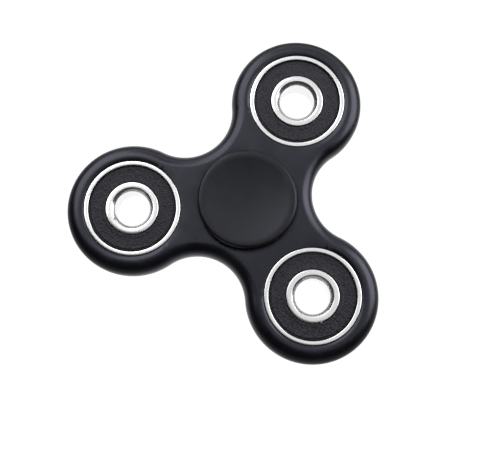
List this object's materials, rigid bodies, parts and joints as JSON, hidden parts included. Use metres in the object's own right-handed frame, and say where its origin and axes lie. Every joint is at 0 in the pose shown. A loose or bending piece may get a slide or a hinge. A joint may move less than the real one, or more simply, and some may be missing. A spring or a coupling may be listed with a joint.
{
  "type": "fidget spinner",
  "caption": "Three-armed hand spinner: moulded body turning on a ball bearing between two dished finger caps, with a sealed ball bearing in each arm.",
  "frame": {"origin": "middle of the centre bearing, on the spin axis at half the thickness", "axes": "+Z along the spin axis, out of the upper cap; +Y through the middle of arm 1; arms 2 and 3 follow anticlockwise"},
  "size_m": [0.076, 0.0698, 0.0116],
  "materials": {
    "body_plastic": "satin black moulded plastic",
    "cap_plastic": "satin black moulded plastic",
    "ring_steel": "ground and polished bearing steel",
    "ball_steel": "mirror-polished bearing steel",
    "cage_steel": "pressed sheet steel",
    "seal_rubber": "finely textured black rubber"
  },
  "bodies": {
    "finger_hub": {"cap_top": "cap_plastic", "cap_bottom": "cap_plastic", "centre_inner_ring": "ring_steel"},
    "rotor": {"body": "body_plastic", "centre_outer_ring": "ring_steel", "centre_seal_upper": "seal_rubber", "centre_seal_lower": "seal_rubber", "arm_1_outer_ring": "ring_steel", "arm_1_seal_upper": "seal_rubber", "arm_1_seal_lower": "seal_rubber", "arm_2_outer_ring": "ring_steel", "arm_2_seal_upper": "seal_rubber", "arm_2_seal_lower": "seal_rubber", "arm_3_outer_ring": "ring_steel", "arm_3_seal_upper": "seal_rubber", "arm_3_seal_lower": "seal_rubber"},
    "centre_cage": {"centre_cage_upper": "cage_steel", "centre_cage_lower": "cage_steel"},
    "centre_ball_1": {"centre_ball_1": "ball_steel"},
    "centre_ball_2": {"centre_ball_2": "ball_steel"},
    "centre_ball_3": {"centre_ball_3": "ball_steel"},
    "centre_ball_4": {"centre_ball_4": "ball_steel"},
    "centre_ball_5": {"centre_ball_5": "ball_steel"},
    "centre_ball_6": {"centre_ball_6": "ball_steel"},
    "centre_ball_7": {"centre_ball_7": "ball_steel"},
    "arm_1_inner": {"arm_1_inner_ring": "ring_steel"},
    "arm_1_cage": {"arm_1_cage_upper": "cage_steel", "arm_1_cage_lower": "cage_steel"},
    "arm_1_ball_1": {"arm_1_ball_1": "ball_steel"},
    "arm_1_ball_2": {"arm_1_ball_2": "ball_steel"},
    "arm_1_ball_3": {"arm_1_ball_3": "ball_steel"},
    "arm_1_ball_4": {"arm_1_ball_4": "ball_steel"},
    "arm_1_ball_5": {"arm_1_ball_5": "ball_steel"},
    "arm_1_ball_6": {"arm_1_ball_6": "ball_steel"},
    "arm_1_ball_7": {"arm_1_ball_7": "ball_steel"},
    "arm_2_inner": {"arm_2_inner_ring": "ring_steel"},
    "arm_2_cage": {"arm_2_cage_upper": "cage_steel", "arm_2_cage_lower": "cage_steel"},
    "arm_2_ball_1": {"arm_2_ball_1": "ball_steel"},
    "arm_2_ball_2": {"arm_2_ball_2": "ball_steel"},
    "arm_2_ball_3": {"arm_2_ball_3": "ball_steel"},
    "arm_2_ball_4": {"arm_2_ball_4": "ball_steel"},
    "arm_2_ball_5": {"arm_2_ball_5": "ball_steel"},
    "arm_2_ball_6": {"arm_2_ball_6": "ball_steel"},
    "arm_2_ball_7": {"arm_2_ball_7": "ball_steel"},
    "arm_3_inner": {"arm_3_inner_ring": "ring_steel"},
    "arm_3_cage": {"arm_3_cage_upper": "cage_steel", "arm_3_cage_lower": "cage_steel"},
    "arm_3_ball_1": {"arm_3_ball_1": "ball_steel"},
    "arm_3_ball_2": {"arm_3_ball_2": "ball_steel"},
    "arm_3_ball_3": {"arm_3_ball_3": "ball_steel"},
    "arm_3_ball_4": {"arm_3_ball_4": "ball_steel"},
    "arm_3_ball_5": {"arm_3_ball_5": "ball_steel"},
    "arm_3_ball_6": {"arm_3_ball_6": "ball_steel"},
    "arm_3_ball_7": {"arm_3_ball_7": "ball_steel"}
  },
  "joints": [
    {"name": "rotor_spin", "type": "hinge", "parent": "finger_hub", "child": "rotor", "pos_m": [0, 0, 0], "axis": [0, 0, 1], "continuous": true},
    {"name": "centre_cage_spin", "type": "hinge", "parent": "finger_hub", "child": "centre_cage", "pos_m": [0, 0, 0], "axis": [0, 0, 1], "continuous": true},
    {"name": "centre_ball_1_roll", "type": "hinge", "parent": "centre_cage", "child": "centre_ball_1", "pos_m": [0, 0.0075, 0], "axis": [0, 0, 1], "continuous": true},
    {"name": "centre_ball_2_roll", "type": "hinge", "parent": "centre_cage", "child": "centre_ball_2", "pos_m": [-0.00586, 0.00468, 0], "axis": [0, 0, 1], "continuous": true},
    {"name": "centre_ball_3_roll", "type": "hinge", "parent": "centre_cage", "child": "centre_ball_3", "pos_m": [-0.00731, -0.00167, 0], "axis": [0, 0, 1], "continuous": true},
    {"name": "centre_ball_4_roll", "type": "hinge", "parent": "centre_cage", "child": "centre_ball_4", "pos_m": [-0.00325, -0.00676, 0], "axis": [0, 0, 1], "continuous": true},
    {"name": "centre_ball_5_roll", "type": "hinge", "parent": "centre_cage", "child": "centre_ball_5", "pos_m": [0.00325, -0.00676, 0], "axis": [0, 0, 1], "continuous": true},
    {"name": "centre_ball_6_roll", "type": "hinge", "parent": "centre_cage", "child": "centre_ball_6", "pos_m": [0.00731, -0.00167, 0], "axis": [0, 0, 1], "continuous": true},
    {"name": "centre_ball_7_roll", "type": "hinge", "parent": "centre_cage", "child": "centre_ball_7", "pos_m": [0.00586, 0.00468, 0], "axis": [0, 0, 1], "continuous": true},
    {"name": "arm_1_inner_spin", "type": "hinge", "parent": "rotor", "child": "arm_1_inner", "pos_m": [0, 0.0263, 0], "axis": [0, 0, 1], "continuous": true},
    {"name": "arm_1_cage_spin", "type": "hinge", "parent": "rotor", "child": "arm_1_cage", "pos_m": [0, 0.0263, 0], "axis": [0, 0, 1], "continuous": true},
    {"name": "arm_1_ball_1_roll", "type": "hinge", "parent": "arm_1_cage", "child": "arm_1_ball_1", "pos_m": [0, 0.0338, 0], "axis": [0, 0, 1], "continuous": true},
    {"name": "arm_1_ball_2_roll", "type": "hinge", "parent": "arm_1_cage", "child": "arm_1_ball_2", "pos_m": [-0.00586, 0.03098, 0], "axis": [0, 0, 1], "continuous": true},
    {"name": "arm_1_ball_3_roll", "type": "hinge", "parent": "arm_1_cage", "child": "arm_1_ball_3", "pos_m": [-0.00731, 0.02463, 0], "axis": [0, 0, 1], "continuous": true},
    {"name": "arm_1_ball_4_roll", "type": "hinge", "parent": "arm_1_cage", "child": "arm_1_ball_4", "pos_m": [-0.00325, 0.01954, 0], "axis": [0, 0, 1], "continuous": true},
    {"name": "arm_1_ball_5_roll", "type": "hinge", "parent": "arm_1_cage", "child": "arm_1_ball_5", "pos_m": [0.00325, 0.01954, 0], "axis": [0, 0, 1], "continuous": true},
    {"name": "arm_1_ball_6_roll", "type": "hinge", "parent": "arm_1_cage", "child": "arm_1_ball_6", "pos_m": [0.00731, 0.02463, 0], "axis": [0, 0, 1], "continuous": true},
    {"name": "arm_1_ball_7_roll", "type": "hinge", "parent": "arm_1_cage", "child": "arm_1_ball_7", "pos_m": [0.00586, 0.03098, 0], "axis": [0, 0, 1], "continuous": true},
    {"name": "arm_2_inner_spin", "type": "hinge", "parent": "rotor", "child": "arm_2_inner", "pos_m": [-0.02278, -0.01315, 0], "axis": [0, 0, 1], "continuous": true},
    {"name": "arm_2_cage_spin", "type": "hinge", "parent": "rotor", "child": "arm_2_cage", "pos_m": [-0.02278, -0.01315, 0], "axis": [0, 0, 1], "continuous": true},
    {"name": "arm_2_ball_1_roll", "type": "hinge", "parent": "arm_2_cage", "child": "arm_2_ball_1", "pos_m": [-0.02278, -0.00565, 0], "axis": [0, 0, 1], "continuous": true},
    {"name": "arm_2_ball_2_roll", "type": "hinge", "parent": "arm_2_cage", "child": "arm_2_ball_2", "pos_m": [-0.02864, -0.00847, 0], "axis": [0, 0, 1], "continuous": true},
    {"name": "arm_2_ball_3_roll", "type": "hinge", "parent": "arm_2_cage", "child": "arm_2_ball_3", "pos_m": [-0.03009, -0.01482, 0], "axis": [0, 0, 1], "continuous": true},
    {"name": "arm_2_ball_4_roll", "type": "hinge", "parent": "arm_2_cage", "child": "arm_2_ball_4", "pos_m": [-0.02603, -0.01991, 0], "axis": [0, 0, 1], "continuous": true},
    {"name": "arm_2_ball_5_roll", "type": "hinge", "parent": "arm_2_cage", "child": "arm_2_ball_5", "pos_m": [-0.01952, -0.01991, 0], "axis": [0, 0, 1], "continuous": true},
    {"name": "arm_2_ball_6_roll", "type": "hinge", "parent": "arm_2_cage", "child": "arm_2_ball_6", "pos_m": [-0.01546, -0.01482, 0], "axis": [0, 0, 1], "continuous": true},
    {"name": "arm_2_ball_7_roll", "type": "hinge", "parent": "arm_2_cage", "child": "arm_2_ball_7", "pos_m": [-0.01691, -0.00847, 0], "axis": [0, 0, 1], "continuous": true},
    {"name": "arm_3_inner_spin", "type": "hinge", "parent": "rotor", "child": "arm_3_inner", "pos_m": [0.02278, -0.01315, 0], "axis": [0, 0, 1], "continuous": true},
    {"name": "arm_3_cage_spin", "type": "hinge", "parent": "rotor", "child": "arm_3_cage", "pos_m": [0.02278, -0.01315, 0], "axis": [0, 0, 1], "continuous": true},
    {"name": "arm_3_ball_1_roll", "type": "hinge", "parent": "arm_3_cage", "child": "arm_3_ball_1", "pos_m": [0.02278, -0.00565, 0], "axis": [0, 0, 1], "continuous": true},
    {"name": "arm_3_ball_2_roll", "type": "hinge", "parent": "arm_3_cage", "child": "arm_3_ball_2", "pos_m": [0.01691, -0.00847, 0], "axis": [0, 0, 1], "continuous": true},
    {"name": "arm_3_ball_3_roll", "type": "hinge", "parent": "arm_3_cage", "child": "arm_3_ball_3", "pos_m": [0.01546, -0.01482, 0], "axis": [0, 0, 1], "continuous": true},
    {"name": "arm_3_ball_4_roll", "type": "hinge", "parent": "arm_3_cage", "child": "arm_3_ball_4", "pos_m": [0.01952, -0.01991, 0], "axis": [0, 0, 1], "continuous": true},
    {"name": "arm_3_ball_5_roll", "type": "hinge", "parent": "arm_3_cage", "child": "arm_3_ball_5", "pos_m": [0.02603, -0.01991, 0], "axis": [0, 0, 1], "continuous": true},
    {"name": "arm_3_ball_6_roll", "type": "hinge", "parent": "arm_3_cage", "child": "arm_3_ball_6", "pos_m": [0.03009, -0.01482, 0], "axis": [0, 0, 1], "continuous": true},
    {"name": "arm_3_ball_7_roll", "type": "hinge", "parent": "arm_3_cage", "child": "arm_3_ball_7", "pos_m": [0.02864, -0.00847, 0], "axis": [0, 0, 1], "continuous": true}
  ],
  "couplings": [
    {"joint": "centre_cage_spin", "follows": "rotor_spin", "ratio": 0.63233},
    {"joint": "centre_ball_1_roll", "follows": "rotor_spin", "ratio": 1.7568},
    {"joint": "centre_ball_2_roll", "follows": "rotor_spin", "ratio": 1.7568},
    {"joint": "centre_ball_3_roll", "follows": "rotor_spin", "ratio": 1.7568},
    {"joint": "centre_ball_4_roll", "follows": "rotor_spin", "ratio": 1.7568},
    {"joint": "centre_ball_5_roll", "follows": "rotor_spin", "ratio": 1.7568},
    {"joint": "centre_ball_6_roll", "follows": "rotor_spin", "ratio": 1.7568},
    {"joint": "centre_ball_7_roll", "follows": "rotor_spin", "ratio": 1.7568},
    {"joint": "arm_1_cage_spin", "follows": "arm_1_inner_spin", "ratio": 0.36767},
    {"joint": "arm_1_ball_1_roll", "follows": "arm_1_inner_spin", "ratio": -1.7568},
    {"joint": "arm_1_ball_2_roll", "follows": "arm_1_inner_spin", "ratio": -1.7568},
    {"joint": "arm_1_ball_3_roll", "follows": "arm_1_inner_spin", "ratio": -1.7568},
    {"joint": "arm_1_ball_4_roll", "follows": "arm_1_inner_spin", "ratio": -1.7568},
    {"joint": "arm_1_ball_5_roll", "follows": "arm_1_inner_spin", "ratio": -1.7568},
    {"joint": "arm_1_ball_6_roll", "follows": "arm_1_inner_spin", "ratio": -1.7568},
    {"joint": "arm_1_ball_7_roll", "follows": "arm_1_inner_spin", "ratio": -1.7568},
    {"joint": "arm_2_cage_spin", "follows": "arm_2_inner_spin", "ratio": 0.36767},
    {"joint": "arm_2_ball_1_roll", "follows": "arm_2_inner_spin", "ratio": -1.7568},
    {"joint": "arm_2_ball_2_roll", "follows": "arm_2_inner_spin", "ratio": -1.7568},
    {"joint": "arm_2_ball_3_roll", "follows": "arm_2_inner_spin", "ratio": -1.7568},
    {"joint": "arm_2_ball_4_roll", "follows": "arm_2_inner_spin", "ratio": -1.7568},
    {"joint": "arm_2_ball_5_roll", "follows": "arm_2_inner_spin", "ratio": -1.7568},
    {"joint": "arm_2_ball_6_roll", "follows": "arm_2_inner_spin", "ratio": -1.7568},
    {"joint": "arm_2_ball_7_roll", "follows": "arm_2_inner_spin", "ratio": -1.7568},
    {"joint": "arm_3_cage_spin", "follows": "arm_3_inner_spin", "ratio": 0.36767},
    {"joint": "arm_3_ball_1_roll", "follows": "arm_3_inner_spin", "ratio": -1.7568},
    {"joint": "arm_3_ball_2_roll", "follows": "arm_3_inner_spin", "ratio": -1.7568},
    {"joint": "arm_3_ball_3_roll", "follows": "arm_3_inner_spin", "ratio": -1.7568},
    {"joint": "arm_3_ball_4_roll", "follows": "arm_3_inner_spin", "ratio": -1.7568},
    {"joint": "arm_3_ball_5_roll", "follows": "arm_3_inner_spin", "ratio": -1.7568},
    {"joint": "arm_3_ball_6_roll", "follows": "arm_3_inner_spin", "ratio": -1.7568},
    {"joint": "arm_3_ball_7_roll", "follows": "arm_3_inner_spin", "ratio": -1.7568}
  ]
}
